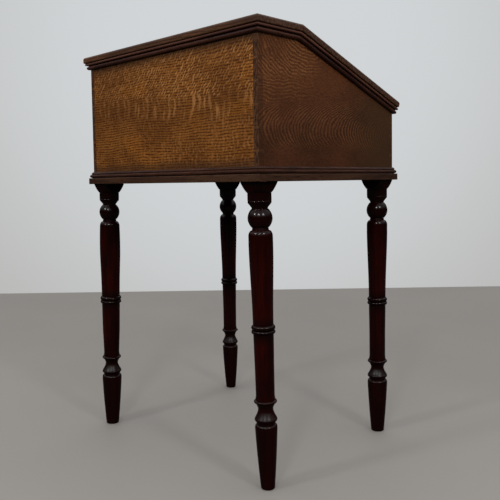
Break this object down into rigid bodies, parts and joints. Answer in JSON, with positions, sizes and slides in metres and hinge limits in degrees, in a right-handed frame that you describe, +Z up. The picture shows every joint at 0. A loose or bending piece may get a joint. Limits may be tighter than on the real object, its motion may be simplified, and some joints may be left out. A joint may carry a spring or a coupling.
{
  "type": "clerks_desk",
  "caption": "Tall oak clerk's desk: dovetailed case with a flat top and a hinged writing slope, double bead mouldings and turned legs; the slope lifts and locks with a key",
  "frame": {"origin": "On the floor under the middle of the desk's box", "axes": "+Z up; +Y towards the tall back, -Y towards the sitter and the low side; +X towards the desk's right as seen from the sitter's side looking at the back"},
  "size_m": [0.69, 0.576, 1.0735],
  "materials": {
    "golden_oak": "wax-polished quarter-sawn oak, golden brown",
    "dark_oak": "wax-polished plain-sawn oak, dark brown",
    "top_oak": "polished oak, mid brown, worn at its edges",
    "moulding": "stained and polished hardwood, very dark brown",
    "legs": "turned and polished hardwood, red-black",
    "inner_wood": "unpolished softwood, aged",
    "brass": "aged brass",
    "steel": "filed steel, slightly dull"
  },
  "bodies": {
    "root": {"back_board": "golden_oak", "left_side_board": "dark_oak", "right_side_board": "dark_oak", "front_board": "dark_oak", "bottom_board_front": "inner_wood", "bottom_board_middle": "inner_wood", "bottom_board_rear": "inner_wood", "top_board": "top_oak", "top_moulding_back": "moulding", "top_moulding_front": "moulding", "top_moulding_left_flat": "moulding", "top_moulding_right_flat": "moulding", "top_moulding_left_slope": "moulding", "top_moulding_right_slope": "moulding", "base_moulding_back": "moulding", "base_moulding_front": "moulding", "base_moulding_left": "moulding", "base_moulding_right": "moulding", "base_band_back": "moulding", "base_band_front": "moulding", "base_band_left": "moulding", "base_band_right": "moulding", "base_rail_back": "inner_wood", "base_rail_front": "inner_wood", "base_rail_left": "inner_wood", "base_rail_right": "inner_wood", "corner_block_back_left": "inner_wood", "corner_block_back_right": "inner_wood", "corner_block_front_left": "inner_wood", "corner_block_front_right": "inner_wood", "leg_back_left": "legs", "leg_back_right": "legs", "leg_front_left": "legs", "leg_front_right": "legs", "top_glue_blocks": "inner_wood", "hinge_left_top_leaf": "brass", "hinge_right_top_leaf": "brass", "hinge_left_pin": "brass", "hinge_right_pin": "brass", "hinge_top_screws": "brass", "lock_case": "brass", "lock_screws": "brass", "keyhole_plate": "brass", "keyhole_plate_pins": "brass"},
    "lid": {"lid_board_upper": "top_oak", "lid_board_middle": "top_oak", "lid_board_lower": "top_oak", "lid_batten_left": "inner_wood", "lid_batten_right": "inner_wood", "batten_screws": "brass", "hinge_left_lid_leaf": "brass", "hinge_right_lid_leaf": "brass", "hinge_lid_screws": "brass", "link_plate": "brass", "link_plate_screws": "brass"},
    "lock_bolt": {"lock_bolt": "steel"},
    "key": {"key": "steel"}
  },
  "joints": [
    {"name": "lid_hinge", "type": "hinge", "parent": "root", "child": "lid", "pos_m": [0, 0.126, 1.07], "axis": [-1, 0, 0], "range_deg": [0, 195]},
    {"name": "bolt_slide", "type": "slide", "parent": "root", "child": "lock_bolt", "axis": [1, 0, 0], "range_m": [0, 0.006]},
    {"name": "key_turn", "type": "hinge", "parent": "root", "child": "key", "pos_m": [0, -0.2675, 0.8761], "axis": [0, 1, 0], "range_deg": [0, 360]}
  ],
  "couplings": [
    {"joint": "key_turn", "follows": "bolt_slide", "rad_per_m": 1047.2}
  ]
}
